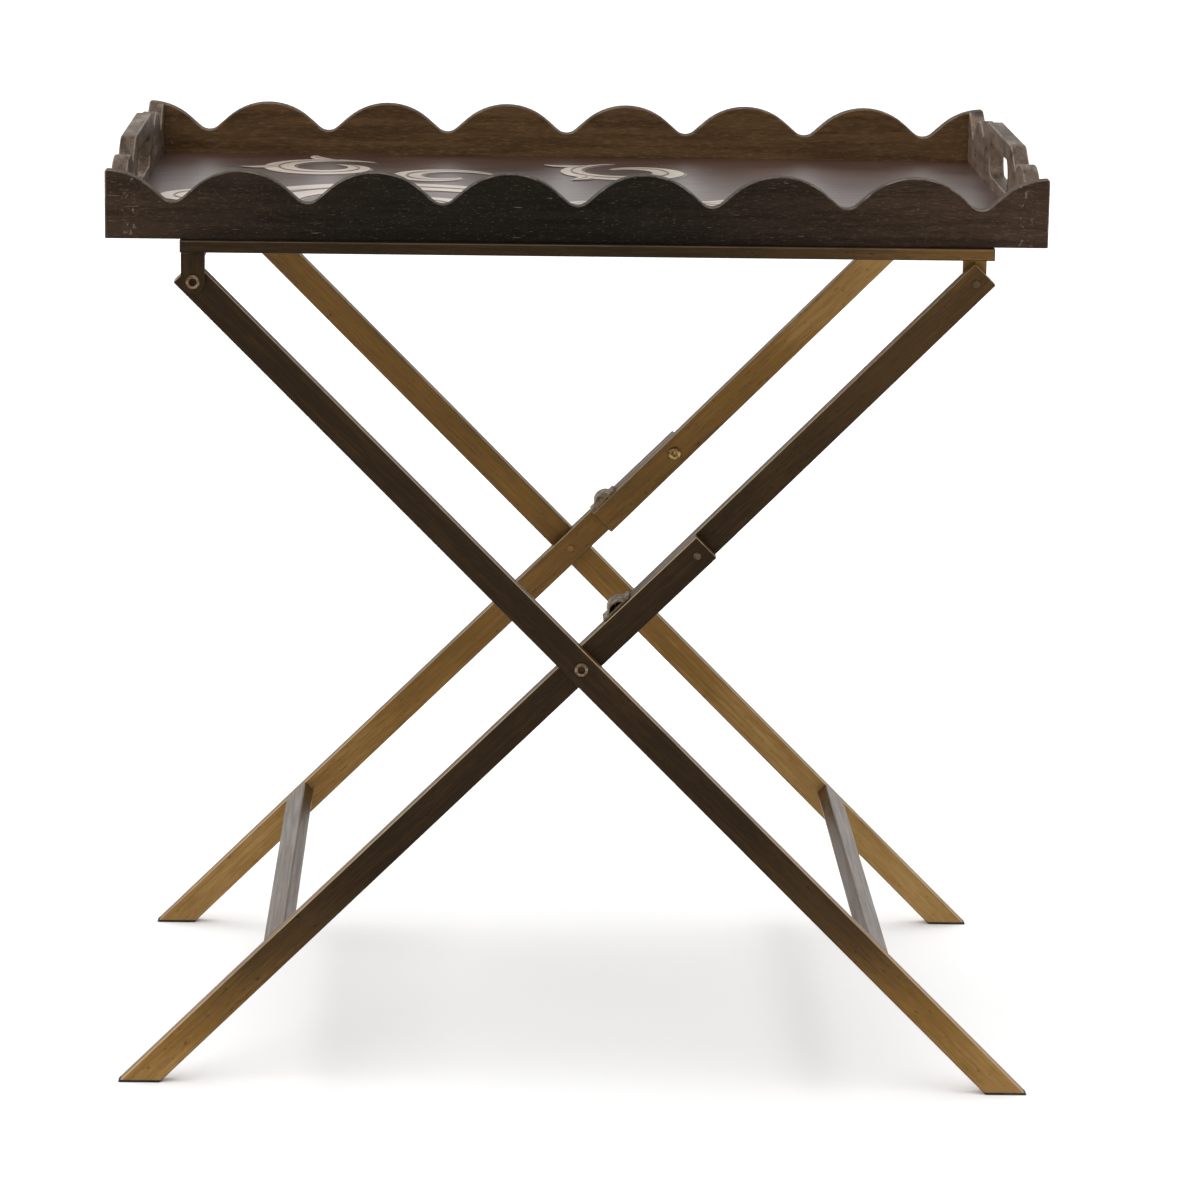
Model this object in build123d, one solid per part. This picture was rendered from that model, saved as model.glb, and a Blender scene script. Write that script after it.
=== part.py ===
from build123d import *
import math
import os

# Folding tray table: a lobed wooden tray on a stand with crossed, over-centre folding legs.
# Millimetres. X runs along the tray, Y from front to back, Z is up.
# The origin is on the floor, under the crossing of the legs.
# Side pieces are modelled on the rear side (+Y) and mirrored to the front.

# ---- driving dimensions: tray ----
TRAY_LENGTH = 710.0
TRAY_DEPTH = 483.0
TRAY_CENTRE_X = -8.0
PANEL = 12.0
END_PANEL = 12.5
TRAY_BOTTOM = 669.3
LOBE_TOP = 721.0
LOBE_RADIUS = 52.0
HOLLOW_RADIUS = 11.0
HOLLOW_BOTTOM = 697.3
LOBES_PER_SIDE = 7
HUMP_TOP = 728.0
HUMP_HALF = 78.0
HUMP_RADIUS = 25.0
NOTCH_Y = 116.0
NOTCH_BOTTOM = 712.0
NOTCH_RADIUS = 3.0
END_LOBE_Y = 148.5
END_HOLLOW_Y = 195.0
END_HOLLOW_BOTTOM = 701.0
HANDHOLD_HALF = 67.0
HANDHOLD_RADIUS = 13.0
HANDHOLD_Z = 700.0
BASE_BOTTOM = 671.5
BASE = 6.0
TONGUE = 3.0
EDGE_ROUND = 1.5
CORNER_ROUND = 2.0

# ---- driving dimensions: stand ----
RAIL_TOP = 669.0
RAIL = 9.0
RAIL_HALF_LENGTH = 306.5
RAIL_INNER_Y = 189.0
RAIL_OUTER_Y = 249.0
CROSS_RAIL_WIDTH = 50.0
TOP_PIVOT_X = 296.7
TOP_PIVOT_Z = 637.6
CENTRE_Z = 339.7
ELBOW_FROM_CENTRE = 123.75
OVER_CENTRE = 0.8
LEG_WIDTH = 23.0
LEG_THICK = 13.0
LEG_ROUND = 1.2
LEG_END = 10.0
LAYER_GAP = 1.0
LINK_INNER_Y = 201.0
LINK_TAIL = 87.0
STRETCHER_FROM_CENTRE = 323.0
STRETCHER_THICK = 11.0
FOOT_PAD = 2.0

# ---- driving dimensions: ironwork ----
BRACKET_WIDTH = 18.0
BRACKET = 3.5
BRACKET_FLANGE = 38.0
BRACKET_BEND = 2.0
BRACKET_SCREWS = (18.5, 31.0)
BOLT = 6.0
BOLT_HOLE = 6.1
BOLT_HEAD = 11.0
BOLT_HEAD_HEIGHT = 2.2
HEAD_ROUND = 1.8
BOLT_END = 0.5
HEX_FLATS = 5.0
HEX_DEPTH = 1.8
WASHER_OUTER = 14.0
WASHER_INNER = 6.2
WASHER = 0.7
SCREW = 3.5
SCREW_HEAD = 6.6
SCREW_HEAD_HEIGHT = 1.5
SCREW_LENGTH = 9.0
SCREW_SLOT = 0.8
TAB_LENGTH = 27.0
TAB_ARCH = 19.0
TAB_RISE = 6.5
TAB_WALL = 1.5
TAB_LIFT = 1.1
TAB_INNER_Y = 203.0
TAB_OUTER_Y = 224.0
TAB_FOOT_INSET = 1.0
ELBOW_GAP = 0.3
DOWEL = 5.0
CORNER_DOWEL_LENGTH = 20.0
CORNER_DOWEL_HEIGHTS = (685.0, 703.0)
FRAME_DOWEL_REACH = 15.0
FRAME_DOWELS_FROM_EDGE = (8.0, 28.0)
STRETCHER_DOWEL_REACH = 8.0
STRETCHER_DOWEL_SPACING = 12.0

# Longer than any leg, for bars that are then cut at the floor.
SPACE = 1200.0

# ---- places worked out from them ----
half_length = TRAY_LENGTH / 2
half_depth = TRAY_DEPTH / 2
tray_left = TRAY_CENTRE_X - half_length
tray_right = TRAY_CENTRE_X + half_length
base_top = BASE_BOTTOM + BASE
rail_bottom = RAIL_TOP - RAIL
flange_bottom = rail_bottom - BRACKET
layer = LEG_THICK + LAYER_GAP
link_y = (LINK_INNER_Y, LINK_INNER_Y + LEG_THICK)
lower_y = (link_y[0] + layer, link_y[1] + layer)
main_y = (lower_y[0] + layer, lower_y[1] + layer)
outer_plate_y = (main_y[1] + LAYER_GAP, main_y[1] + LAYER_GAP + BRACKET)
inner_plate_y = (link_y[0] - LAYER_GAP - BRACKET, link_y[0] - LAYER_GAP)

main_pivot = (-TOP_PIVOT_X, TOP_PIVOT_Z)
link_pivot = (TOP_PIVOT_X, TOP_PIVOT_Z)
centre = (0.0, CENTRE_Z)
centre_to_link = math.atan2(TOP_PIVOT_Z - CENTRE_Z, TOP_PIVOT_X)
elbow = (
    ELBOW_FROM_CENTRE * math.cos(centre_to_link) + OVER_CENTRE * math.sin(centre_to_link),
    CENTRE_Z + ELBOW_FROM_CENTRE * math.sin(centre_to_link) - OVER_CENTRE * math.cos(centre_to_link),
)


def direction(start, end):
    """Angle from start to end, in degrees, counter-clockwise as seen from the front."""
    return math.degrees(math.atan2(end[1] - start[1], end[0] - start[0]))


main_angle = direction(main_pivot, centre)
lower_angle = direction(centre, elbow)
link_angle = direction(elbow, link_pivot)
main_to_centre = math.dist(main_pivot, centre)
link_reach = math.dist(elbow, link_pivot)


# ---- helpers ----
def slab(x, y, z):
    """Block between the low and high values of x, y and z."""
    middle = Pos((x[0] + x[1]) / 2, (y[0] + y[1]) / 2, (z[0] + z[1]) / 2)
    return middle * Box(x[1] - x[0], y[1] - y[0], z[1] - z[0])


def along(point, angle, shape):
    """Put a shape drawn along +X at a point (x, z), turned to an angle in the XZ plane."""
    return Pos(point[0], 0, point[1]) * Rot(0, -angle, 0) * shape


def rod(point, y, diameter):
    """Round bar along Y through (x, z)."""
    middle = Pos(point[0], (y[0] + y[1]) / 2, point[1])
    return middle * Rot(90, 0, 0) * Cylinder(diameter / 2, abs(y[1] - y[0]))


def front(shape):
    """Mirror a rear piece to the front side."""
    return mirror(shape, about=Plane.XZ)


def both(shape):
    """The rear piece and its front mirror image, as one group."""
    return [shape, front(shape)]


def save(name, shape):
    """Write one node; a list becomes a group of separate solids."""
    if isinstance(shape, list):
        solids = [solid for piece in shape for solid in piece.solids()]
        shape = Compound(solids)
    export_step(shape, f"parts/{name}.step")


def save_pair(name, shape):
    """Write the rear piece and its front mirror image as two nodes."""
    save(f"{name}_rear", shape)
    save(f"{name}_front", front(shape))


# ---- tray ----
def lobed_line(lobes):
    """Edges along crests (radius > 0) and hollows (radius < 0), joined by common tangents.

    Each lobe is (u, z, radius), where (u, z) is the highest or lowest point of its arc.
    """
    arc_start = [Vector(u, z) for u, z, radius in lobes]
    arc_end = list(arc_start)
    for index in range(len(lobes) - 1):
        u0, z0, r0 = lobes[index]
        u1, z1, r1 = lobes[index + 1]
        middle0 = Vector(u0, z0 - r0)
        middle1 = Vector(u1, z1 - r1)
        span = middle1 - middle0
        normal = math.atan2(span.Y, span.X) + math.acos((r0 - r1) / span.length)
        unit = Vector(math.cos(normal), math.sin(normal))
        arc_end[index] = middle0 + unit * r0
        arc_start[index + 1] = middle1 + unit * r1
    edges = []
    for index, (u, z, radius) in enumerate(lobes):
        edges.append(RadiusArc(arc_start[index], arc_end[index], radius))
        if index < len(lobes) - 1:
            edges.append(Line(arc_end[index], arc_start[index + 1]))
    return edges


def lobed_panel(lobes, thickness):
    """Panel in the XZ plane with a lobed top edge and its front face at y = 0."""
    left = lobes[0]
    right = lobes[-1]
    edges = lobed_line(lobes)
    edges.append(Line((right[0], right[1]), (right[0], TRAY_BOTTOM)))
    edges.append(Line((right[0], TRAY_BOTTOM), (left[0], TRAY_BOTTOM)))
    edges.append(Line((left[0], TRAY_BOTTOM), (left[0], left[1])))
    face = Plane.XZ * make_face(edges)
    return Pos(0, thickness, 0) * extrude(face, thickness)


def eased_top(panel):
    """Round the edges along the top of a panel that stands in the XZ plane."""
    edges = []
    for edge in panel.edges():
        box = edge.bounding_box()
        along_panel = box.size.Y < 0.01 and box.size.X > 0.01
        if along_panel and box.min.Z > TRAY_BOTTOM + 1:
            edges.append(edge)
    return fillet(edges, EDGE_ROUND)


def base_layer(reach, top):
    """Level board that reaches past the inner faces of the tray's panels."""
    reach_x = half_length - END_PANEL + reach
    reach_y = half_depth - PANEL + reach
    return slab(
        (TRAY_CENTRE_X - reach_x, TRAY_CENTRE_X + reach_x),
        (-reach_y, reach_y),
        (BASE_BOTTOM, top),
    )


def base_board():
    """The tray's base, with a thinner tongue round it that fits grooves in the panels."""
    return base_layer(0, base_top) + base_layer(TONGUE, BASE_BOTTOM + TONGUE)


def corner_dowels():
    """Two dowels at each corner of the tray, from a long panel into an end panel."""
    dowels = []
    for x in (tray_left + END_PANEL / 2, tray_right - END_PANEL / 2):
        for z in CORNER_DOWEL_HEIGHTS:
            outer = half_depth - PANEL / 2
            dowels += both(rod((x, z), (outer, outer - CORNER_DOWEL_LENGTH), DOWEL))
    return dowels


def long_panel():
    """Rear long panel: half a lobe at each end, whole lobes between them."""
    pitch = TRAY_LENGTH / LOBES_PER_SIDE
    lobes = []
    for index in range(LOBES_PER_SIDE):
        u = tray_left + index * pitch
        lobes.append((u, LOBE_TOP, LOBE_RADIUS))
        lobes.append((u + pitch / 2, HOLLOW_BOTTOM, -HOLLOW_RADIUS))
    lobes.append((tray_right, LOBE_TOP, LOBE_RADIUS))
    panel = Pos(0, half_depth - PANEL, 0) * eased_top(lobed_panel(lobes, PANEL))
    corners = panel.edges().filter_by(Axis.Z).group_by(Axis.Y)[-1]
    return fillet(corners, CORNER_ROUND)


def end_panel():
    """Right end panel: central hump, a lobe on each side and a hand-hold slot."""
    side = [
        (HUMP_HALF, HUMP_TOP, HUMP_RADIUS),
        (NOTCH_Y, NOTCH_BOTTOM, -NOTCH_RADIUS),
        (END_LOBE_Y, LOBE_TOP, LOBE_RADIUS),
        (END_HOLLOW_Y, END_HOLLOW_BOTTOM, -HOLLOW_RADIUS),
        (half_depth, LOBE_TOP, LOBE_RADIUS),
    ]
    other_side = [(-u, z, radius) for u, z, radius in reversed(side)]
    panel = eased_top(lobed_panel(other_side + side, END_PANEL))
    slot = Plane.XZ * Pos(0, HANDHOLD_Z) * SlotOverall(2 * HANDHOLD_HALF, 2 * HANDHOLD_RADIUS)
    panel -= extrude(slot, END_PANEL, both=True)
    panel = fillet(panel.edges().filter_by(slot_edge), EDGE_ROUND)
    panel = Pos(tray_right, 0, 0) * Rot(0, 0, 90) * panel
    inner = half_depth - PANEL
    between = slab((tray_left, tray_right), (-inner, inner), (TRAY_BOTTOM, HUMP_TOP))
    return panel & between


def slot_edge(edge):
    """True for an edge round the hand-hold slot of a panel in the XZ plane."""
    box = edge.bounding_box()
    flat = box.size.Y < 0.01
    below_top = box.max.Z < HANDHOLD_Z + HANDHOLD_RADIUS + 1
    above_bottom = box.min.Z > HANDHOLD_Z - HANDHOLD_RADIUS - 1
    in_length = max(abs(box.min.X), abs(box.max.X)) < HANDHOLD_HALF + 1
    return flat and above_bottom and below_top and in_length


def make_tray():
    """Write the tray's nodes."""
    base = base_board()
    dowels = corner_dowels()
    bored = [base] + dowels
    right = end_panel()
    left = Pos(2 * TRAY_CENTRE_X, 0, 0) * mirror(right, about=Plane.YZ)
    save_pair("tray_panel", long_panel() - bored)
    save("tray_end_right", right - bored)
    save("tray_end_left", left - bored)
    save("tray_base", base)
    save("tray_corner_dowels", dowels)


# ---- stand top ----
def rail():
    """Rear rail."""
    board = slab(
        (-RAIL_HALF_LENGTH, RAIL_HALF_LENGTH),
        (RAIL_INNER_Y, RAIL_OUTER_Y),
        (rail_bottom, RAIL_TOP),
    )
    outer = board.edges().group_by(Axis.Y)[-1]
    return fillet(outer, EDGE_ROUND)


def cross_rail():
    """Right cross rail, between the two rails."""
    return slab(
        (RAIL_HALF_LENGTH - CROSS_RAIL_WIDTH, RAIL_HALF_LENGTH),
        (-RAIL_INNER_Y, RAIL_INNER_Y),
        (rail_bottom, RAIL_TOP),
    )


def frame_dowels():
    """Two dowels at each corner of the stand's top frame, along Y."""
    dowels = []
    inner_edge = RAIL_HALF_LENGTH - CROSS_RAIL_WIDTH
    for sign in (-1, 1):
        for inset in FRAME_DOWELS_FROM_EDGE:
            point = (sign * (inner_edge + inset), rail_bottom + RAIL / 2)
            reach = (RAIL_INNER_Y - FRAME_DOWEL_REACH, RAIL_INNER_Y + FRAME_DOWEL_REACH)
            dowels += both(rod(point, reach, DOWEL))
    return dowels


def bolt(point, head_y, end_y):
    """Bolt along Y: domed ring head on the face at head_y, shank to end_y with a domed end."""
    outward = math.copysign(1, head_y - end_y)
    crown = BOLT_HEAD_HEIGHT
    head = Cylinder(BOLT_HEAD / 2, crown, align=(Align.CENTER, Align.CENTER, Align.MIN))
    head = fillet(head.edges().group_by(Axis.Z)[-1], HEAD_ROUND)
    recess = extrude(RegularPolygon(HEX_FLATS / 2, 6, major_radius=False), HEX_DEPTH)
    head -= Pos(0, 0, crown - HEX_DEPTH) * recess
    head = Pos(point[0], head_y, point[1]) * Rot(-90 * outward, 0, 0) * head
    shank = Cylinder(BOLT / 2, abs(head_y - end_y), align=(Align.CENTER, Align.CENTER, Align.MIN))
    shank = fillet(shank.edges().group_by(Axis.Z)[-1], BOLT_END)
    shank = Pos(point[0], head_y, point[1]) * Rot(90 * outward, 0, 0) * shank
    return head + shank


def washer(point, y_from):
    """Thin washer along Y with its low face at y_from."""
    ring = rod(point, (y_from, y_from + WASHER), WASHER_OUTER)
    return ring - rod(point, (y_from, y_from + WASHER), WASHER_INNER)


def screw():
    """Pan-head screw along +Z, with the underside of its head at z = 0."""
    shank = Cylinder(SCREW / 2, SCREW_LENGTH, align=(Align.CENTER, Align.CENTER, Align.MIN))
    tip = shank.edges().group_by(Axis.Z)[-1]
    shank = chamfer(tip, SCREW / 4)
    head = Cylinder(SCREW_HEAD / 2, SCREW_HEAD_HEIGHT, align=(Align.CENTER, Align.CENTER, Align.MAX))
    head = fillet(head.edges().group_by(Axis.Z)[0], SCREW_HEAD_HEIGHT / 2)
    for turn in (0, 90):
        slot = Box(SCREW_HEAD * 0.6, SCREW_SLOT, SCREW_SLOT)
        head -= Pos(0, 0, -SCREW_HEAD_HEIGHT) * Rot(0, 0, turn) * slot
    return head + shank


def bracket(x, plate_y):
    """Angle bracket: a plate with a round lower end and a flange under the frame."""
    half = BRACKET_WIDTH / 2
    across = (x - half, x + half)
    plate = slab(across, plate_y, (TOP_PIVOT_Z, rail_bottom))
    plate += slab(across, (plate_y[1] - BRACKET_FLANGE, plate_y[1]), (flange_bottom, rail_bottom))
    bends = plate.edges().filter_by(Axis.X)
    inside = bends.filter_by_position(Axis.Y, plate_y[0] - 0.1, plate_y[0] + 0.1)
    inside = inside.filter_by_position(Axis.Z, flange_bottom - 0.1, flange_bottom + 0.1)
    outside = bends.filter_by_position(Axis.Y, plate_y[1] - 0.1, plate_y[1] + 0.1)
    outside = outside.filter_by_position(Axis.Z, rail_bottom - 0.1, rail_bottom + 0.1)
    plate = fillet(inside + outside, BRACKET_BEND)
    plate += rod((x, TOP_PIVOT_Z), plate_y, BRACKET_WIDTH)
    plate -= rod((x, TOP_PIVOT_Z), plate_y, BOLT_HOLE)
    return plate - bracket_screws(x, plate_y)


def bracket_screws(x, plate_y):
    """The bracket's two screws, upward through its flange."""
    return [Pos(x, plate_y[1] - inset, flange_bottom) * screw() for inset in BRACKET_SCREWS]


def make_stand_top():
    """Write the nodes of the stand's top frame."""
    dowels = frame_dowels()
    leg_screws = bracket_screws(-TOP_PIVOT_X, outer_plate_y)
    link_screws = bracket_screws(TOP_PIVOT_X, inner_plate_y)
    screws = []
    for piece in leg_screws + link_screws:
        screws += both(piece)
    bored = dowels + screws
    right = cross_rail() - bored
    left = mirror(cross_rail(), about=Plane.YZ) - bored
    save_pair("rail", rail() - bored)
    save("cross_rail_right", right)
    save("cross_rail_left", left)
    save("frame_dowels", dowels)
    save_pair("bracket_legs", bracket(-TOP_PIVOT_X, outer_plate_y))
    save_pair("bracket_links", bracket(TOP_PIVOT_X, inner_plate_y))
    save("bracket_screws", screws)
    save("pivot_bolts_legs", both(bolt(main_pivot, outer_plate_y[1], main_y[0] - BOLT_END)))
    save("pivot_bolts_links", both(bolt(link_pivot, inner_plate_y[0], link_y[1] + BOLT_END)))
    leg_washer = washer(main_pivot, outer_plate_y[0] - WASHER)
    link_washer = washer(link_pivot, inner_plate_y[1])
    save("bracket_washers", both(leg_washer) + both(link_washer))


# ---- legs and links ----
def beam(point, angle, reach, y):
    """Leg or link with eased edges, from reach[0] to reach[1] along its direction."""
    half = LEG_WIDTH / 2
    bar = slab(reach, y, (-half, half))
    return along(point, angle, fillet(bar.edges(), LEG_ROUND))


def above(z):
    """All space above a height."""
    return slab((-SPACE, SPACE), (-SPACE, SPACE), (z, SPACE))


def footed(bar):
    """Cut a leg level near the floor: the leg, and the pad that carries on to the floor."""
    leg = bar & above(FOOT_PAD)
    pad = (bar & above(0)) - above(FOOT_PAD)
    return leg, pad


def stretcher(point, angle, place, y_reach):
    """Cross bar between two legs, flush with their upper edges, and its dowels."""
    half = LEG_WIDTH / 2
    bar = slab(
        (place - half, place + half),
        (-y_reach, y_reach),
        (half - STRETCHER_THICK, half),
    )
    bar = fillet(bar.edges().filter_by(Axis.Y), LEG_ROUND)
    dowels = []
    reach = (y_reach - STRETCHER_DOWEL_REACH, y_reach + STRETCHER_DOWEL_REACH)
    for offset in (-STRETCHER_DOWEL_SPACING / 2, STRETCHER_DOWEL_SPACING / 2):
        local = (place + offset, half - STRETCHER_THICK / 2)
        dowels += both(rod(local, reach, DOWEL))
    return along(point, angle, bar), [along(point, angle, dowel) for dowel in dowels]


def make_main_legs():
    """Write the long legs, their stretcher and the bolts at the crossing."""
    bar = beam(main_pivot, main_angle, (-LEG_END, SPACE), main_y)
    leg, pad = footed(bar)
    place = main_to_centre + STRETCHER_FROM_CENTRE
    cross_bar, dowels = stretcher(main_pivot, main_angle, place, main_y[0])
    bores = [rod(point, main_y, BOLT_HOLE) for point in (main_pivot, centre)]
    save_pair("main_leg", leg - bores - dowels)
    save_pair("main_foot", pad)
    save("main_stretcher", cross_bar - dowels)
    save("main_stretcher_dowels", dowels)
    save("centre_bolts", both(bolt(centre, main_y[1], lower_y[0] - BOLT_END)))
    save("centre_washers", both(washer(centre, main_y[0] - WASHER)))


def make_lower_legs():
    """Write the lower legs, their stretcher and their half of the elbow pivots."""
    bar = beam(centre, lower_angle, (-SPACE, math.dist(centre, elbow) + LEG_END), lower_y)
    leg, pad = footed(bar)
    cross_bar, dowels = stretcher(centre, lower_angle, -STRETCHER_FROM_CENTRE, lower_y[0])
    bores = [rod(point, lower_y, BOLT_HOLE) for point in (centre, elbow)]
    pin = rod(elbow, (lower_y[0], lower_y[1] + BOLT_END), BOLT)
    pin = fillet(pin.edges().group_by(Axis.Y)[-1], BOLT_END)
    save_pair("lower_leg", leg - bores - dowels)
    save_pair("lower_foot", pad)
    save("lower_stretcher", cross_bar - dowels)
    save("lower_stretcher_dowels", dowels)
    save("elbow_pins", both(pin))


def stop_tab():
    """Stop on the link's tail, an arched plate open at its outer end, and its screw."""
    left = -LINK_TAIL
    right = left + TAB_LENGTH
    middle = (left + right) / 2
    edge = LEG_WIDTH / 2
    floor = edge + TAB_LIFT
    foot_left = (middle - TAB_ARCH / 2, floor)
    foot_right = (middle + TAB_ARCH / 2, floor)
    arc = ThreePointArc(foot_left, (middle, floor + TAB_RISE), foot_right)
    profile = make_face([arc, Line(foot_right, foot_left)])
    arch = Pos(0, TAB_OUTER_Y, 0) * extrude(Plane.XZ * profile, TAB_OUTER_Y - TAB_INNER_Y)
    plate = slab((left, right), (TAB_INNER_Y, TAB_OUTER_Y), (floor, floor + TAB_WALL))
    hollow = Plane.XZ * offset(profile, -TAB_WALL)
    hollow = Pos(0, TAB_OUTER_Y, 0) * extrude(hollow, TAB_OUTER_Y - TAB_INNER_Y - TAB_WALL)
    foot = slab((left, right), (TAB_INNER_Y, link_y[1] - TAB_FOOT_INSET), (edge, floor))
    screw_y = (TAB_INNER_Y + link_y[1]) / 2
    fixing = Pos(middle, screw_y, floor + TAB_WALL) * Rot(180, 0, 0) * screw()
    tab = arch + plate - hollow + foot - fixing
    return along(elbow, link_angle, tab), along(elbow, link_angle, fixing)


def make_upper_links():
    """Write the upper links, each with its stop and its half of the elbow pivot."""
    bar = beam(elbow, link_angle, (-LINK_TAIL, link_reach + LEG_END), link_y)
    tab, fixing = stop_tab()
    bores = [rod(point, link_y, BOLT_HOLE) for point in (elbow, link_pivot)]
    save_pair("upper_link", bar - bores - fixing)
    save_pair("stop_tab", tab)
    save_pair("stop_screw", fixing)
    save_pair("elbow_bolt", bolt(elbow, link_y[0], lower_y[0] - ELBOW_GAP))
    save_pair("elbow_washer", washer(elbow, link_y[1]))


os.makedirs("parts", exist_ok=True)
make_tray()
make_stand_top()
make_main_legs()
make_lower_legs()
make_upper_links()
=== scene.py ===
import math

import bmesh
import bpy
from mathutils import Matrix, Vector


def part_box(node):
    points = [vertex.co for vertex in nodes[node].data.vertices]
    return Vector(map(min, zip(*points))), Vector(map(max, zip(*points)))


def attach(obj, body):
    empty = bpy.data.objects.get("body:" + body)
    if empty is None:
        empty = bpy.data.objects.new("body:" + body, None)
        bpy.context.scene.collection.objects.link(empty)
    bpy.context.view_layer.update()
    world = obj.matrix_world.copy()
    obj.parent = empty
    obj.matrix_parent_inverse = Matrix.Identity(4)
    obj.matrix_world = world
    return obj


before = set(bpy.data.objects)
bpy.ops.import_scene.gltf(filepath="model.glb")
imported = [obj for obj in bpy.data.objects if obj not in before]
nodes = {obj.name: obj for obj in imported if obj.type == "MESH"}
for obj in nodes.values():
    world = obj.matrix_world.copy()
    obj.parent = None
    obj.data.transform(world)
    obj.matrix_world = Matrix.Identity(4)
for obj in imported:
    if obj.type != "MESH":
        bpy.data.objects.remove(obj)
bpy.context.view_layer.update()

# Folding tray table: painted and gilded wood, aged brass bolts and a printed tray floor.
# Metres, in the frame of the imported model: X along the tray, Y to the back, Z up.


def middle(node):
    """Centre of a node's box."""
    low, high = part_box(node)
    return Vector(((low.x + high.x) / 2, (low.y + high.y) / 2, (low.z + high.z) / 2))


def slope(node):
    """Angle of a straight leg or link to the X axis, from its box, in radians."""
    low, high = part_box(node)
    return math.atan2(high.z - low.z, high.x - low.x)


# ---- shader nodes ----
class Look:
    """One material, with short calls for the shader nodes it is built from."""

    def __init__(self, name, fixed):
        self.material = bpy.data.materials.new(name)
        self.material.use_nodes = True
        self.tree = self.material.node_tree
        self.shader = self.tree.nodes["Principled BSDF"]
        for socket, value in fixed.items():
            self.shader.inputs[socket].default_value = value
        self.place = self.node("TexCoord", {}).outputs["Object"]
        self.xyz = self.node("SeparateXYZ", {0: self.place}).outputs

    def node(self, kind, inputs, **settings):
        """Add a node, set its options and feed its inputs."""
        made = self.tree.nodes.new("ShaderNode" + kind)
        for key, value in settings.items():
            setattr(made, key, value)
        for socket, value in inputs.items():
            if isinstance(value, bpy.types.NodeSocket):
                self.tree.links.new(value, made.inputs[socket])
            else:
                made.inputs[socket].default_value = value
        return made

    def math(self, operation, first, second=0.0):
        """Arithmetic on one or two values."""
        return self.node("Math", {0: first, 1: second}, operation=operation).outputs[0]

    def plus(self, first, second):
        """Sum of two values."""
        return self.math("ADD", first, second)

    def minus(self, first, second):
        """First value less the second."""
        return self.math("SUBTRACT", first, second)

    def times(self, first, second):
        """Product of two values."""
        return self.math("MULTIPLY", first, second)

    def unsigned(self, value):
        """Value without its sign."""
        return self.math("ABSOLUTE", value)

    def ease(self, value, low, high, start=0.0, end=1.0):
        """Smooth step: start below low, end above high."""
        inputs = {"Value": value, "From Min": low, "From Max": high, "To Min": start, "To Max": end}
        return self.node("MapRange", inputs, interpolation_type="SMOOTHSTEP").outputs[0]

    def band(self, value, rise, fall):
        """1 between rise and fall and 0 outside them, each of them (from, to)."""
        return self.times(self.ease(value, *rise), self.ease(value, *fall, 1.0, 0.0))

    def blend(self, factor, first, second):
        """Mix two values."""
        return self.node("Mix", {0: factor, 2: first, 3: second}, data_type="FLOAT").outputs[0]

    def mix(self, factor, first, second):
        """Mix two colours, each a socket or (red, green, blue)."""
        inputs = {0: factor}
        for socket, colour in ((6, first), (7, second)):
            is_socket = isinstance(colour, bpy.types.NodeSocket)
            inputs[socket] = colour if is_socket else (*colour, 1.0)
        return self.node("Mix", inputs, data_type="RGBA").outputs[2]

    def turned(self, rotation):
        """Object coordinates turned so that the grain runs along X."""
        inputs = {"Vector": self.place, "Rotation": rotation}
        return self.node("Mapping", inputs).outputs[0]

    def stretched(self, vector, scale):
        """A vector with each part multiplied by its own scale."""
        return self.node("VectorMath", {0: vector, 1: scale}, operation="MULTIPLY").outputs[0]

    def noise(self, vector, scale, detail=3.0, roughness=0.5):
        """Noise at (along, across, across) cycles per metre."""
        inputs = {
            "Vector": self.stretched(vector, scale),
            "Scale": 1.0,
            "Detail": detail,
            "Roughness": roughness,
        }
        return self.node("TexNoise", inputs).outputs[0]

    def colours(self, value, stops):
        """Colour ramp through (position, colour) stops."""
        ramp = self.node("ValToRGB", {0: value})
        elements = ramp.color_ramp.elements
        for element, (position, colour) in zip(elements, (stops[0], stops[-1])):
            element.position = position
            element.color = (*colour, 1.0)
        for position, colour in stops[1:-1]:
            elements.new(position).color = (*colour, 1.0)
        return ramp.outputs[0]

    def normal(self):
        """Surface normal in object space, as its three parts."""
        facing = self.node("TexCoord", {}).outputs["Normal"]
        return self.node("SeparateXYZ", {0: facing}).outputs

    def away(self):
        """Part of the normal that points away from the middle of the table, front to back."""
        return self.times(self.normal()[1], self.math("SIGN", self.xyz[1]))

    def outward(self):
        """1 on faces that look away from the middle of the table, front and rear alike."""
        return self.ease(self.away(), 0.2, 0.8)

    def inward(self):
        """1 on faces that look towards the middle of the table."""
        return self.ease(self.away(), -0.8, -0.2, 1.0, 0.0)

    def finish(self, colour, roughness, height, depth=0.0002):
        """Connect colour, roughness and a bump of the given depth in metres."""
        bump = self.node("Bump", {"Height": height, "Distance": depth, "Strength": 0.6})
        self.tree.links.new(colour, self.shader.inputs["Base Color"])
        self.tree.links.new(roughness, self.shader.inputs["Roughness"])
        self.tree.links.new(bump.outputs[0], self.shader.inputs["Normal"])
        return self.material


# ---- materials ----
# Turns that bring the grain of a piece onto X.
ACROSS = (0.0, 0.0, -math.pi / 2)
UPRIGHT = (0.0, math.pi / 2, 0.0)
LEVEL = (0.0, 0.0, 0.0)

# Colours.
GILT = (0.190, 0.100, 0.0270)
# Painted highlight for the upper rounded edges of gilded pieces.
EDGE_HIGHLIGHT_GOLD = (0.72, 0.57, 0.36)
SHORT_PORE = (0.17, 0.13, 0.085)
FILLED_PORE = (0.24, 0.20, 0.155)
# Paler rounded edges of the stained wood: partly wear, partly a painted highlight.
ARRIS_WEAR_AND_HIGHLIGHT = (0.24, 0.19, 0.145)
DARK_SMEAR = (0.022, 0.015, 0.010)
PALE_SMEAR = (0.24, 0.19, 0.15)
# Painted shade for the recess in a bolt head.
RECESS_SHADE = (0.018, 0.010, 0.005)

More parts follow.
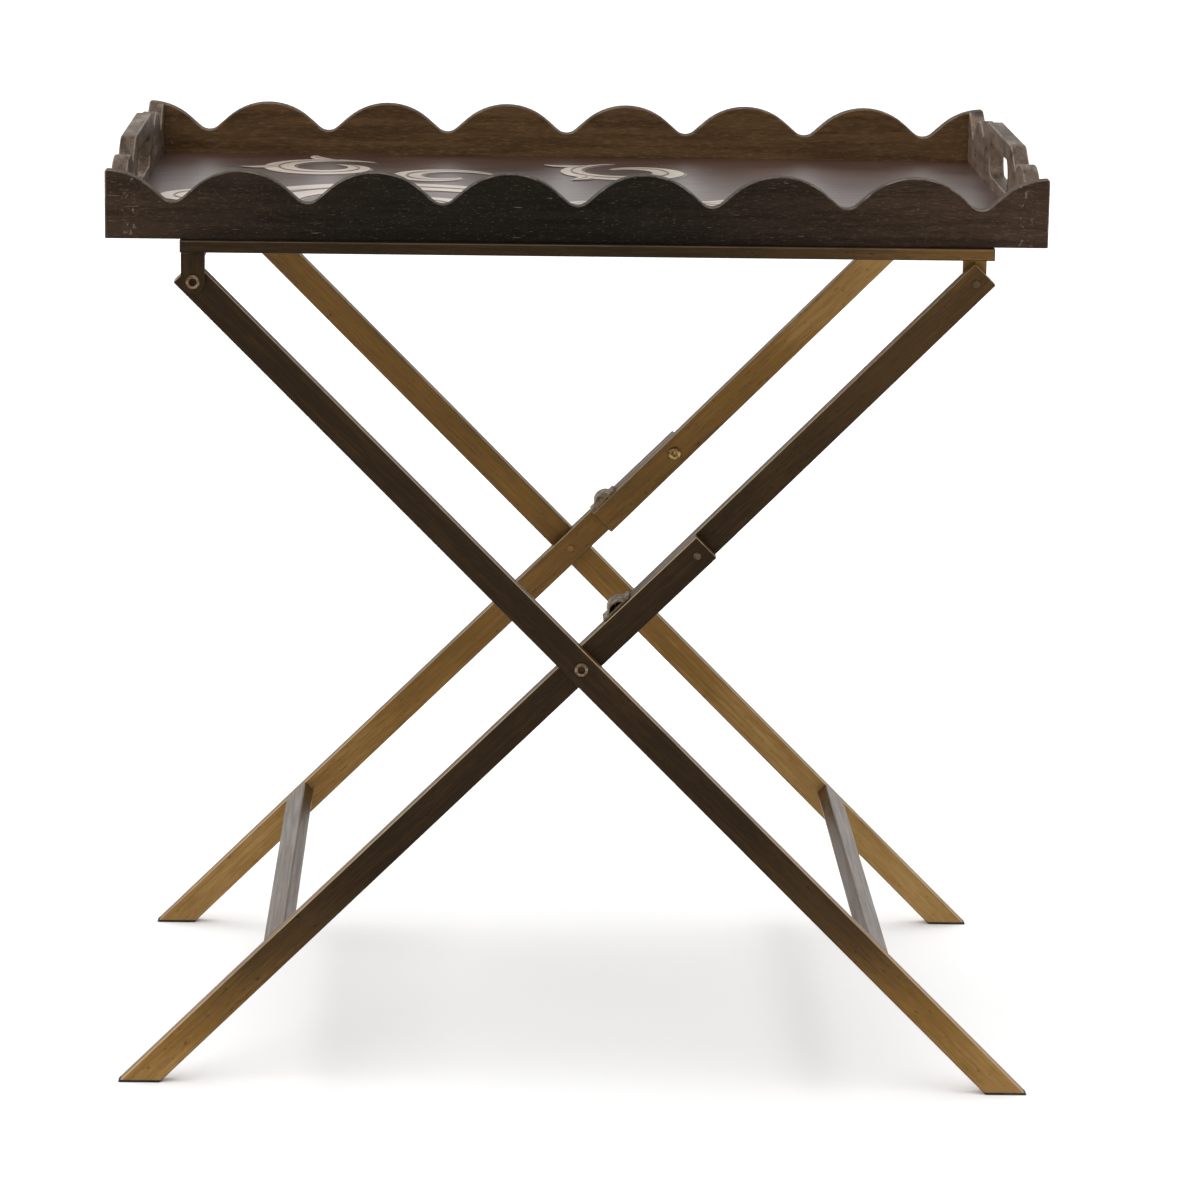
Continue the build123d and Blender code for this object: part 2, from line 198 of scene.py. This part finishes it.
# Tones of the gilding, from bare umber to gold leaf.
GILDING = (
    (0.0, (0.020, 0.0115, 0.0050)),
    (0.3, (0.062, 0.034, 0.0130)),
    (0.6, GILT),
    (1.0, (0.480, 0.300, 0.1150)),
)


def gilded(name, rotation, inner, outer, edge_highlight_and_wear=0.5, along=2, gloss=0.06, coat=0.02):
    """Antique gold brushed over dark umber, with a painted highlight along the upper edges of the
    faces.

    inner and outer give the gold on faces towards and away from the middle of the table,
    each as (from, to, gold at the first, gold at the second) along one axis, 0 for X, 2 for Z.
    """
    fixed = {"Metallic": 0.3, "Specular IOR Level": gloss}
    look = Look(name, {**fixed, "Coat Weight": coat, "Coat Roughness": 0.3})
    grain = look.turned(rotation)
    streaks = look.noise(grain, (14.0, 420.0, 420.0), detail=4.0, roughness=0.6)
    hairs = look.noise(grain, (80.0, 1500.0, 1500.0), detail=2.0)
    clouds = look.noise(grain, (12.0, 40.0, 40.0), detail=4.0, roughness=0.65)
    pits = look.ease(look.noise(grain, (130.0, 520.0, 520.0), detail=2.0), 0.66, 0.74)

    place = look.xyz[along]
    # Faces away from the middle of the table take a different gold from faces towards it: partly
    # the finish, partly painted shade.
    level = look.blend(look.outward(), look.ease(place, *inner), look.ease(place, *outer))
    arris = look.band(look.unsigned(look.normal()[1]), (0.12, 0.40), (0.80, 0.97))
    upward = look.ease(look.normal()[2], -0.05, 0.10)
    # Painted shade: the lower rounded edges are darkened.
    lower_edge = look.times(arris, look.minus(1.0, upward))
    level = look.minus(level, look.times(lower_edge, 0.25))
    # Painted shade: faces that look up are a little darker.
    level = look.minus(level, look.ease(look.normal()[2], 0.55, 0.69, 0.0, 0.16))
    for part, weight in ((streaks, 0.30), (hairs, 0.22), (clouds, 0.28)):
        level = look.plus(level, look.times(look.minus(part, 0.5), weight))
    level = look.minus(level, look.times(pits, 0.18))

    # Painted highlight: rounded edges that look up turn pale gold, broken up by the clouds.
    upper_edge = look.times(look.times(arris, upward), edge_highlight_and_wear)
    upper_edge = look.times(upper_edge, look.ease(clouds, 0.30, 0.55, 0.4, 1.0))
    colour = look.mix(upper_edge, look.colours(level, GILDING), EDGE_HIGHLIGHT_GOLD)
    roughness = look.ease(streaks, 0.3, 0.7, 0.34, 0.5)
    height = look.minus(look.plus(streaks, look.times(hairs, 0.5)), pits)
    return look.finish(colour, roughness, height)


# Distances from a long panel's end to the band of chips: where it fades in and out.
FLECKS_IN = (0.026, 0.020)
FLECKS_OUT = (0.016, 0.011)


def end_flecks(look, panel):
    """Chips of pale filler in a narrow upright band near each end of a long panel."""
    low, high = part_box(panel)
    half = (high.x - low.x) / 2
    from_middle = look.unsigned(look.minus(look.xyz[0], middle(panel).x))
    rise = [half - distance for distance in FLECKS_IN]
    fall = [half - distance for distance in FLECKS_OUT]
    chips = look.ease(look.noise(look.place, (330.0, 330.0, 240.0), detail=2.0), 0.60, 0.68)
    return look.times(look.band(from_middle, rise, fall), chips)


# The tray's outer faces are darkest here and turn paler from one distance to the other.
DARKEST_X = -0.06
DARK_REACH = 0.06
PALE_REACH = 0.42


def tray_wood(name, rotation, face_axis, inner, outer, worn, outer_end=None, flecked=None):
    """Dark stained open-grain wood with pale filler left in the pores.

    face_axis is the axis that the panel's faces look along, 0 for X and 1 for Y. Outer faces
    turn from outer to outer_end towards the panel's ends. An end panel's faces all take inner.
    flecked names a panel with end flecks.
    """
    look = Look(name, {"Specular IOR Level": 0.04, "Coat Weight": 0.02, "Coat Roughness": 0.3})
    grain = look.turned(rotation)
    figure = look.noise(grain, (8.0, 130.0, 130.0), detail=5.0, roughness=0.65)
    fine = look.noise(grain, (150.0, 1000.0, 1000.0), detail=3.0, roughness=0.65)
    short_pores = look.noise(grain, (300.0, 1400.0, 1400.0), detail=2.0, roughness=0.4)
    long_pores = look.noise(grain, (85.0, 1150.0, 1150.0), detail=2.0, roughness=0.4)
    patches = look.noise(grain, (10.0, 42.0, 42.0), detail=3.0)
    scuffs = look.ease(look.noise(grain, (45.0, 90.0, 90.0), detail=4.0, roughness=0.7), 0.42, 0.62)
    smears = look.noise(look.place, (75.0, 28.0, 60.0), detail=5.0, roughness=0.7)

    aside = look.unsigned(look.minus(look.xyz[0], DARKEST_X))
    outside = look.mix(look.ease(aside, DARK_REACH, PALE_REACH), outer, outer_end or outer)
    facing = look.unsigned(look.normal()[face_axis])
    turned_in = look.inward()
    if face_axis == 0:
        turned_in = look.math("MAXIMUM", turned_in, look.ease(facing, 0.75, 0.98))
    # Outer and top faces take a much darker tone than inner faces: partly the stain, partly painted
    # shade.
    tone = look.mix(turned_in, outside, inner)
    value = look.ease(figure, 0.36, 0.60, 0.62, 1.0)
    value = look.plus(value, look.ease(fine, 0.50, 0.74, 0.0, 0.75))
    value = look.minus(value, look.ease(fine, 0.26, 0.42, 0.4, 0.0))
    colour = look.node("VectorMath", {0: tone, "Scale": value}, operation="SCALE").outputs[0]

    colour = look.mix(look.ease(short_pores, 0.64, 0.72, 0.0, 0.3), colour, SHORT_PORE)
    reach = look.ease(patches, 0.35, 0.65, 0.77, 0.69)
    filled = look.ease(look.minus(long_pores, reach), 0.0, 0.04)
    if flecked:
        filled = look.math("MAXIMUM", filled, end_flecks(look, flecked))
    colour = look.mix(look.times(filled, 0.36), colour, FILLED_PORE)

    # Rounded edges turn paler: partly wear and scuffs, partly a painted highlight.
    arris = look.band(facing, (0.05, 0.35), (0.75, 0.98))
    edge_highlight_and_wear = look.times(arris, look.plus(look.times(scuffs, 0.5), 0.15 + worn / 4))
    colour = look.mix(edge_highlight_and_wear, colour, ARRIS_WEAR_AND_HIGHLIGHT)
    colour = look.mix(look.ease(smears, 0.36, 0.48, worn, 0.0), colour, DARK_SMEAR)
    colour = look.mix(look.ease(smears, 0.52, 0.66, 0.0, worn), colour, PALE_SMEAR)
    roughness = look.ease(fine, 0.3, 0.7, 0.36, 0.55)
    height = look.minus(look.plus(fine, look.times(figure, 0.6)), filled)
    return look.finish(colour, roughness, height)


def lacquered(name, tint, dark_tint):
    """Painted board under a satin lacquer: faint brush marks, small specks and soft clouding."""
    look = Look(name, {"Specular IOR Level": 0.3, "Coat Weight": 0.26, "Coat Roughness": 0.2})
    brush = look.noise(look.place, (10.0, 160.0, 160.0), detail=4.0, roughness=0.6)
    clouds = look.noise(look.place, (9.0, 12.0, 9.0), detail=3.0)
    specks = look.ease(look.noise(look.place, (420.0, 420.0, 420.0), detail=2.0), 0.70, 0.76)
    mixed = look.plus(look.times(brush, 0.5), look.times(clouds, 0.5))
    colour = look.mix(look.ease(mixed, 0.36, 0.64), dark_tint, tint)
    speck_tint = [0.4 * part for part in dark_tint]
    colour = look.mix(look.times(specks, 0.5), colour, speck_tint)
    roughness = look.ease(mixed, 0.3, 0.7, 0.32, 0.44)
    return look.finish(colour, roughness, brush, depth=0.00006)


RECESS_RADIUS = 0.0028
RECESS_RIM = 0.0005


def aged_metal(name, bright, dark, metallic=0.9, rough=0.34, bolt_node=None):
    """Metal with tarnish in soft patches and fine scratches.

    A bolt has painted shade in the recess of its outer end and gilding brushed over its inner end.
    """
    look = Look(name, {"Metallic": metallic, "Specular IOR Level": 0.3})
    tarnish = look.noise(look.place, (200.0, 200.0, 200.0), detail=4.0, roughness=0.6)
    scratches = look.noise(look.place, (300.0, 2600.0, 700.0), detail=2.0)
    mixed = look.plus(look.times(tarnish, 0.75), look.times(scratches, 0.25))
    colour = look.mix(look.ease(mixed, 0.36, 0.62), dark, bright)
    if bolt_node:
        axis = middle(bolt_node)
        outward = look.outward()
        flat = look.stretched(look.place, (1.0, 0.0, 1.0))
        inputs = {0: flat, 1: (axis.x, 0.0, axis.z)}
        from_axis = look.node("VectorMath", inputs, operation="DISTANCE").outputs["Value"]
        recess = look.ease(from_axis, RECESS_RADIUS, RECESS_RADIUS + RECESS_RIM, 0.94, 0.0)
        colour = look.mix(outward, GILT, colour)
        # Painted shade darkens the recess in the bolt's outer end.
        colour = look.mix(look.times(recess, outward), colour, RECESS_SHADE)
    roughness = look.ease(tarnish, 0.35, 0.65, rough + 0.16, rough)
    return look.finish(colour, roughness, mixed, depth=0.0001)


def bare_wood(name):
    """Pale beech for the hidden dowels."""
    look = Look(name, {"Specular IOR Level": 0.3})
    grain = look.noise(look.turned(ACROSS), (60.0, 1400.0, 1400.0), detail=4.0)
    rings = look.noise(look.turned(ACROSS), (20.0, 400.0, 400.0))
    colour = look.mix(look.ease(grain, 0.35, 0.65), (0.36, 0.22, 0.11), (0.52, 0.36, 0.2))
    return look.finish(colour, look.ease(rings, 0.3, 0.7, 0.55, 0.7), grain)


def dark_pad(name):
    """Matte dark foot pad with a moulded speckle."""
    look = Look(name, {"Specular IOR Level": 0.3})
    speckle = look.noise(look.place, (900.0, 900.0, 900.0), detail=2.0)
    scuffs = look.noise(look.place, (60.0, 300.0, 120.0), detail=3.0)
    colour = look.mix(look.ease(scuffs, 0.4, 0.7), (0.012, 0.010, 0.008), (0.045, 0.036, 0.028))
    return look.finish(colour, look.ease(speckle, 0.3, 0.7, 0.6, 0.85), speckle)


# ---- what each node is painted with ----
# Gold along a piece: (from, to, gold at the first, gold at the second), in metres.
# The gold of outer faces differs from inner faces and changes along each piece: partly the finish,
# partly painted shade.
INNER_LEG = (0.0, 0.45, 0.80, 0.49)
INNER_LOWER_LEG = (0.0, 0.42, 0.73, 0.46)
OUTER_LEG = (-0.05, 0.235, 0.82, 0.03)
OUTER_LOWER_LEG = (-0.04, 0.20, 0.78, 0.03)
INNER_LINK = (0.40, 0.64, 0.46, 0.80)
OUTER_LINK = (0.45, 0.66, 0.04, 0.34)
OUTER_RAIL = (0.05, 0.31, 0.03, 0.46)

# End panels: their edges, and their faces, which are paler on the right-hand one.
END_EDGES = (0.098, 0.069, 0.049)
END_FACES = {"left": (0.098, 0.069, 0.047), "right": (0.185, 0.128, 0.092)}


def evenly(gold):
    """The same gold all over."""
    return (0.0, 1.0, gold, gold)


def paint(material, *names):
    """Give CAD nodes a material."""
    for name in names:
        mesh = nodes[name].data
        mesh.materials.clear()
        mesh.materials.append(material)


def pair(name):
    """The rear and front nodes of a mirrored pair."""
    return name + "_rear", name + "_front"


def paint_stand():
    """Materials for the legs, links, stretchers and rails."""
    falling = (0.0, -slope("main_leg_front"), 0.0)
    rising = (0.0, slope("lower_leg_front"), 0.0)
    paint(gilded("gilt_main_leg", falling, INNER_LEG, OUTER_LEG), *pair("main_leg"))
    paint(gilded("gilt_lower_leg", rising, INNER_LOWER_LEG, OUTER_LOWER_LEG), *pair("lower_leg"))
    paint(gilded("gilt_link", rising, INNER_LINK, OUTER_LINK), *pair("upper_link"))
    bars = gilded(
        "gilt_stretcher", ACROSS, evenly(0.47), evenly(0.47), edge_highlight_and_wear=0.1, gloss=0.22, coat=0.12
    )
    paint(bars, "main_stretcher", "lower_stretcher")
    rail = gilded("bronzed_rail", LEVEL, evenly(0.1), OUTER_RAIL, edge_highlight_and_wear=0.06, along=0)
    paint(rail, *pair("rail"))
    cross = gilded("bronzed_cross_rail", ACROSS, evenly(0.1), evenly(0.05), edge_highlight_and_wear=0.2)
    paint(cross, "cross_rail_left", "cross_rail_right")
    paint(dark_pad("foot_pad"), *pair("main_foot"), *pair("lower_foot"))


def paint_tray():
    """Materials for the tray and for all the dowels."""
    long_panel = tray_wood(
        "stained_long_panel",
        LEVEL,
        face_axis=1,
        inner=(0.125, 0.070, 0.032),
        outer=(0.0090, 0.0068, 0.0042),
        outer_end=(0.044, 0.026, 0.016),
        worn=0.01,
        flecked="tray_panel_front",
    )
    paint(long_panel, *pair("tray_panel"))
    for side, faces in END_FACES.items():
        end_panel = tray_wood(
            "stained_end_" + side, ACROSS, face_axis=0, inner=faces, outer=END_EDGES, worn=0.7
        )
        paint(end_panel, "tray_end_" + side)
    board = lacquered("lacquered_base", (0.060, 0.029, 0.020), (0.031, 0.0155, 0.0115))
    paint(board, "tray_base")
    dowels = ("tray_corner_dowels", "frame_dowels", "main_stretcher_dowels")
    paint(bare_wood("bare_dowel"), *dowels, "lower_stretcher_dowels")


def paint_ironwork():
    """Materials for the brackets, bolts, pins, screws and stops."""
    dark_bracket = gilded("bronzed_bracket", UPRIGHT, evenly(0.2), evenly(0.06), edge_highlight_and_wear=0.2)
    paint(dark_bracket, *pair("bracket_legs"))
    gold_bracket = gilded("gilt_bracket", UPRIGHT, evenly(0.70), evenly(0.70), edge_highlight_and_wear=0.2)
    paint(gold_bracket, *pair("bracket_links"))
    gold = (0.42, 0.28, 0.10)
    bronze = (0.23, 0.165, 0.115)
    umber = (0.07, 0.042, 0.022)
    for node in ("pivot_bolts_legs", "centre_bolts"):
        paint(aged_metal("bronze_" + node, bronze, umber, bolt_node=node), node)
    brown = aged_metal("painted_bolt", (0.085, 0.052, 0.024), (0.055, 0.032, 0.014), metallic=0.3)
    paint(brown, "pivot_bolts_links")
    paint(aged_metal("aged_brass", gold, umber), *pair("elbow_bolt"))
    small = aged_metal("aged_bronze", bronze, umber)
    paint(small, "bracket_washers", "centre_washers", "bracket_screws")
    paint(small, *pair("elbow_washer"), *pair("stop_screw"))
    paint(aged_metal("dark_pin", (0.12, 0.08, 0.05), (0.03, 0.02, 0.012)), "elbow_pins")
    stop = aged_metal(
        "worn_stop", (0.20, 0.145, 0.085), (0.06, 0.038, 0.02), metallic=0.5, rough=0.42
    )
    paint(stop, *pair("stop_tab"))


def add_piece(name, mesh, material):
    """Turn a bmesh into an object with a material."""
    data = bpy.data.meshes.new(name)
    mesh.to_mesh(data)
    mesh.free()
    data.materials.append(material)
    piece = bpy.data.objects.new(name, data)
    bpy.context.scene.collection.objects.link(piece)
    return piece


# ---- printed pattern on the tray's floor ----
PRINT_THICKNESS = 0.00012
STROKE_STEPS = 96
TAPER = 0.75
MERGE_DISTANCE = 1e-6


def stroke_outline(centre, radius, start, sweep, width, curl):
    """Both sides of a curved stroke that tapers to a point at each end, in metres."""
    outer = []
    inner = []
    for step in range(STROKE_STEPS + 1):
        t = step / STROKE_STEPS
        angle = math.radians(start + sweep * t)
        reach = radius * (1.0 - curl * t)
        half = width / 2 * math.sin(math.pi * t) ** TAPER
        spoke = Vector((math.cos(angle), math.sin(angle)))
        outer.append(centre + spoke * (reach + half))
        inner.append(centre + spoke * (reach - half))
    return outer, inner


def stroke(name, centre, radius, start, sweep, width, curl, low, material):
    """One printed stroke: a very thin solid lying on the board."""
    sides = stroke_outline(centre, radius, start, sweep, width, curl)
    mesh = bmesh.new()
    rows = []
    for z in (low, low + PRINT_THICKNESS):
        rows.append([[mesh.verts.new((p.x, p.y, z)) for p in side] for side in sides])
    (low_outer, low_inner), (top_outer, top_inner) = rows
    for i in range(STROKE_STEPS):
        mesh.faces.new((top_outer[i], top_outer[i + 1], top_inner[i + 1], top_inner[i]))
        mesh.faces.new((low_outer[i], low_inner[i], low_inner[i + 1], low_outer[i + 1]))
        mesh.faces.new((low_outer[i], low_outer[i + 1], top_outer[i + 1], top_outer[i]))
        mesh.faces.new((low_inner[i + 1], low_inner[i], top_inner[i], top_inner[i + 1]))
    bmesh.ops.remove_doubles(mesh, verts=mesh.verts, dist=MERGE_DISTANCE)
    bmesh.ops.recalc_face_normals(mesh, faces=mesh.faces)
    piece = add_piece(name, mesh, material)
    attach(piece, "tray")


# Each scroll: x and y from the middle of the board, radius, start, sweep (degrees), width, curl.
SCROLLS = (
    (-0.150, -0.100, 0.137, -25, 500, 0.060, 0.74),
    (0.078, -0.150, 0.096, 160, -430, 0.040, 0.72),
    (-0.200, 0.135, 0.052, 40, 390, 0.028, 0.62),
    (0.050, 0.125, 0.054, 100, 400, 0.028, 0.62),
    (-0.104, 0.082, 0.044, 10, 330, 0.024, 0.66),
    (-0.286, -0.055, 0.040, 20, 360, 0.024, 0.62),
    (0.238, -0.172, 0.046, 120, -400, 0.022, 0.62),
)
# Leaves along a scroll: index of the scroll, angle from its start, leaf radius, leaf sweep, width.
LEAVES = (
    (0, 18, 0.060, 70, 0.020),
    (0, 62, 0.046, 85, 0.024),
    (0, 106, 0.040, 95, 0.024),
    (0, 150, 0.044, 90, 0.024),
    (0, 196, 0.040, 90, 0.020),
    (1, 30, 0.036, 90, 0.018),
    (1, 80, 0.034, 95, 0.018),
    (1, 130, 0.034, 95, 0.018),
    (1, 178, 0.036, 90, 0.016),
    (2, 40, 0.026, 90, 0.012),
    (2, 120, 0.024, 95, 0.012),
    (3, 30, 0.026, 90, 0.012),
    (3, 110, 0.024, 95, 0.012),
    (6, 60, 0.024, 90, 0.011),
    (6, 140, 0.022, 95, 0.011),
)
SHADOW_SHIFT = Vector((0.002, -0.002))
SHADOW_SPREAD = 1.06
VEIN = 0.07
LAYER_STEP = 0.00002


def leaf(scroll_shape, turn, radius, sweep, width):
    """Shape of a leaf that leaves the outer side of a scroll at a turn from the scroll's start."""
    x, y, scroll_radius, start, scroll_sweep, _, curl = scroll_shape
    hand = math.copysign(1.0, scroll_sweep)
    t = turn / abs(scroll_sweep)
    reach = scroll_radius * (1.0 - curl * t)
    angle = start + hand * turn
    away = reach + radius
    centre_x = x + math.cos(math.radians(angle)) * away
    centre_y = y + math.sin(math.radians(angle)) * away
    return (centre_x, centre_y, radius, angle + 180.0, -hand * sweep, width, 0.0)


def lay_print():
    """Cream scrolls and leaves, each with a grey edge beside it and a thin grey vein."""
    _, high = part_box("tray_base")
    board_middle = middle("tray_base").xy
    cream = lacquered("print_cream", (0.46, 0.39, 0.33), (0.36, 0.30, 0.25))
    grey = lacquered("print_grey", (0.17, 0.135, 0.115), (0.12, 0.092, 0.078))
    shapes = list(SCROLLS)
    for index, *leaf_shape in LEAVES:
        shapes.append(leaf(SCROLLS[index], *leaf_shape))
    # Layers of each shape, from the board up: name, shift, share of the width and material.
    coats = (
        ("print_edge", SHADOW_SHIFT, SHADOW_SPREAD, grey),
        ("print_scroll", Vector((0.0, 0.0)), 1.0, cream),
        ("print_vein", Vector((0.0, 0.0)), VEIN, grey),
    )
    for index, (x, y, radius, start, sweep, width, curl) in enumerate(shapes):
        centre = board_middle + Vector((x, y))
        layer_z = high.z + index * LAYER_STEP
        for name, shift, spread, material in coats:
            bend = (radius, start, sweep, width * spread, curl)
            stroke(f"{name}_{index}", centre + shift, *bend, layer_z, material)
            layer_z += len(shapes) * LAYER_STEP


# ---- stage, light and camera ----
FLOOR_REACH = 30.0
FLOOR_PAINT = {"Specular IOR Level": 0.0, "Roughness": 0.9, "Base Color": (0.93, 0.93, 0.93, 1.0)}

# Brightness of the surroundings from the near side to the far side, as (direction, strength).
NEAR_SKY = (-1.0, 0.35)
FAR_SKY = (0.35, 1.0)

# Angles of the sun in degrees, and of the camera in radians.
SUN_POWER = 2.1
SUN_ANGLE = 80.0
SUN_TILT = (8.0, -10.0, 0.0)

FILL_PLACE = (-1.6, -3.0, 1.6)
FILL_TARGET = (0.0, 0.0, 0.4)
FILL_SIZE = 1.6
FILL_POWER = 12.0

CAMERA_PLACE = (-0.0826, -3.6512, 1.1457)
CAMERA_YAW = 0.0147
CAMERA_PITCH = 0.2169
CAMERA_ROLL = 0.0129
LENS = 136.9
SHIFT_X = 0.05
VIEW_END = 200.0


def make_floor():
    """Plain pale floor."""
    mesh = bmesh.new()
    corners = [(-FLOOR_REACH, -FLOOR_REACH), (FLOOR_REACH, -FLOOR_REACH)]
    corners += [(FLOOR_REACH, FLOOR_REACH), (-FLOOR_REACH, FLOOR_REACH)]
    mesh.faces.new([mesh.verts.new((x, y, 0.0)) for x, y in corners])
    floor = add_piece("floor", mesh, Look("pale_floor", FLOOR_PAINT).material)


def make_sky():
    """Even white surroundings, darker on the near side."""
    world = bpy.data.worlds.new("studio")
    bpy.context.scene.world = world
    world.use_nodes = True
    tree = world.node_tree
    background = tree.nodes["Background"]
    background.inputs["Color"].default_value = (1.0, 1.0, 1.0, 1.0)
    coords = tree.nodes.new("ShaderNodeTexCoord")
    parts = tree.nodes.new("ShaderNodeSeparateXYZ")
    near_to_far = tree.nodes.new("ShaderNodeMapRange")
    for end, (direction, strength) in (("Min", NEAR_SKY), ("Max", FAR_SKY)):
        near_to_far.inputs["From " + end].default_value = direction
        near_to_far.inputs["To " + end].default_value = strength
    tree.links.new(coords.outputs["Generated"], parts.inputs[0])
    tree.links.new(parts.outputs["Y"], near_to_far.inputs["Value"])
    tree.links.new(near_to_far.outputs[0], background.inputs["Strength"])


def make_lights():
    """Very soft overhead sun and a weak square light from the front left."""
    sun = bpy.data.lights.new("overhead", "SUN")
    sun.energy = SUN_POWER
    sun.angle = math.radians(SUN_ANGLE)
    overhead = bpy.data.objects.new("overhead", sun)
    overhead.rotation_euler = [math.radians(tilt) for tilt in SUN_TILT]
    fill = bpy.data.lights.new("front_fill", "AREA")
    fill.size = FILL_SIZE
    fill.energy = FILL_POWER
    front_fill = bpy.data.objects.new("front_fill", fill)
    front_fill.location = FILL_PLACE
    aim = Vector(FILL_TARGET) - Vector(FILL_PLACE)
    front_fill.rotation_euler = aim.to_track_quat("-Z", "Y").to_euler()
    for light in (overhead, front_fill):
        bpy.context.scene.collection.objects.link(light)


def make_camera():
    """Long lens a little above the tray, looking slightly down."""
    ahead = math.cos(CAMERA_PITCH)
    forward = Vector(
        (math.sin(CAMERA_YAW) * ahead, math.cos(CAMERA_YAW) * ahead, -math.sin(CAMERA_PITCH))
    )
    level = Vector((math.cos(CAMERA_YAW), -math.sin(CAMERA_YAW), 0.0))
    upward = level.cross(forward)
    right = level * math.cos(CAMERA_ROLL) + upward * math.sin(CAMERA_ROLL)
    up = right.cross(forward)
    data = bpy.data.cameras.new("camera")
    data.lens = LENS
    data.shift_x = SHIFT_X
    data.clip_end = VIEW_END
    camera = bpy.data.objects.new("camera", data)
    turn = Matrix((right, up, -forward)).transposed().to_4x4()
    camera.matrix_world = Matrix.Translation(CAMERA_PLACE) @ turn
    bpy.context.scene.collection.objects.link(camera)
    bpy.context.scene.camera = camera


paint_stand()
paint_tray()
paint_ironwork()
lay_print()
make_floor()
make_sky()
make_lights()
make_camera()
bpy.context.scene.view_settings.view_transform = "Standard"
